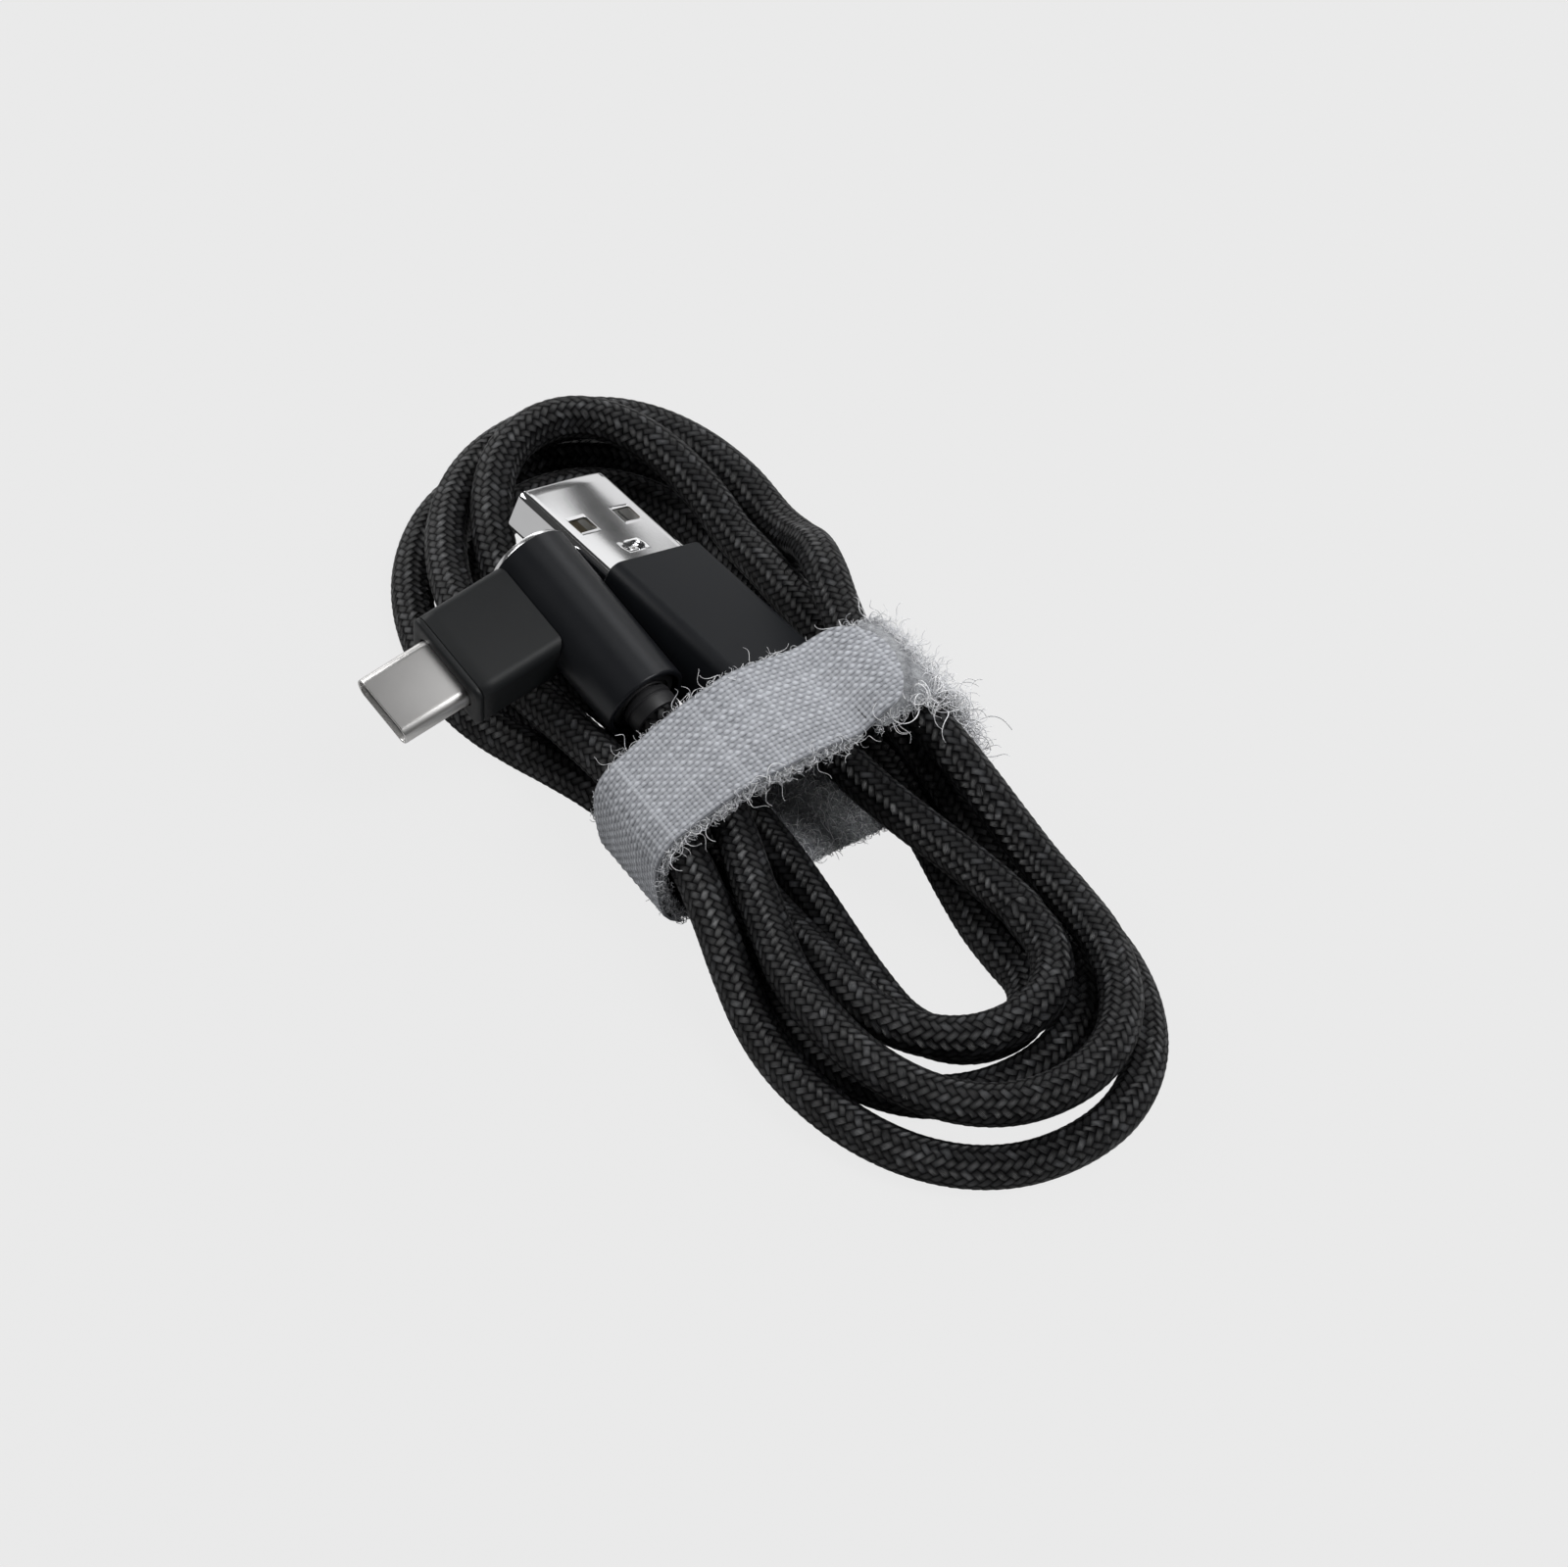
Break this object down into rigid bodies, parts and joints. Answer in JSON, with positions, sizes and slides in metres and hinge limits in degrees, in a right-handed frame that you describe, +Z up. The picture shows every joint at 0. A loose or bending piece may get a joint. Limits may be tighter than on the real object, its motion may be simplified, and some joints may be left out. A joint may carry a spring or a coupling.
{
  "type": "charging cable",
  "caption": "Black braided USB-A to USB-C charging cable, wound in an oval hank and held by a grey hook-and-loop strap, with a right-angle USB-C plug.",
  "frame": {"origin": "a point on the strap's flat underside, on the surface that the hank rests on, 0.3 mm left of its middle and 0.9 mm behind it", "axes": "+Z up from the resting face; +Y along the hank, towards the bend that the plugs point at; +X towards the side on which the strap's free end lies"},
  "size_m": [0.0535, 0.1136, 0.021],
  "materials": {
    "nickel": "satin nickel plate",
    "black_metal": "black anodised, satin",
    "black_plastic": "moulded, fine matt",
    "white_plastic": "moulded",
    "gold": "gold plate",
    "board": "solder mask",
    "tin": "tinned",
    "core_jacket": "smooth jacket",
    "braid": "herringbone braid of polyester",
    "pile": "loop pile",
    "weave": "basket weave"
  },
  "bodies": {
    "hank": {"cable_coil": "braid", "lead_to_usb_a": "braid", "lead_to_usb_c": "braid", "usb_a_shell": "nickel", "usb_a_housing": "black_metal", "usb_a_tongue": "white_plastic", "usb_a_contact_1": "gold", "usb_a_contact_2": "gold", "usb_a_contact_3": "gold", "usb_a_contact_4": "gold", "usb_a_inner_moulding": "black_plastic", "usb_a_wire_1": "tin", "usb_a_wire_2": "tin", "usb_a_wire_3": "tin", "usb_a_wire_4": "tin", "usb_a_crimp_collar": "tin", "usb_a_cable_core": "core_jacket", "usb_a_strain_relief": "black_plastic", "usb_c_shell": "nickel", "usb_c_insulator": "black_plastic", "usb_c_contact_row_upper": "gold", "usb_c_contact_row_lower": "gold", "usb_c_latch_spring": "tin", "usb_c_circuit_board": "board", "usb_c_stub_housing": "black_plastic", "angle_body_tube": "black_metal", "tube_end_cap": "black_plastic", "tube_board_carrier": "black_plastic", "usb_c_wire_1": "tin", "usb_c_wire_2": "tin", "usb_c_wire_3": "tin", "usb_c_wire_4": "tin", "usb_c_crimp_collar": "tin", "usb_c_cable_core": "core_jacket", "tube_end_ring": "black_plastic", "usb_c_strain_relief": "black_plastic", "strap_loop_band": "pile", "strap_woven_face": "weave"},
    "strap_end": {"strap_free_end": "weave", "strap_hook_patch": "black_plastic"}
  },
  "joints": [
    {"name": "strap_end_peel", "type": "hinge", "parent": "hank", "child": "strap_end", "pos_m": [0.00495, -0.0009, 0.01505], "axis": [0, -0.9925, -0.122], "range_deg": [0, 75]}
  ]
}
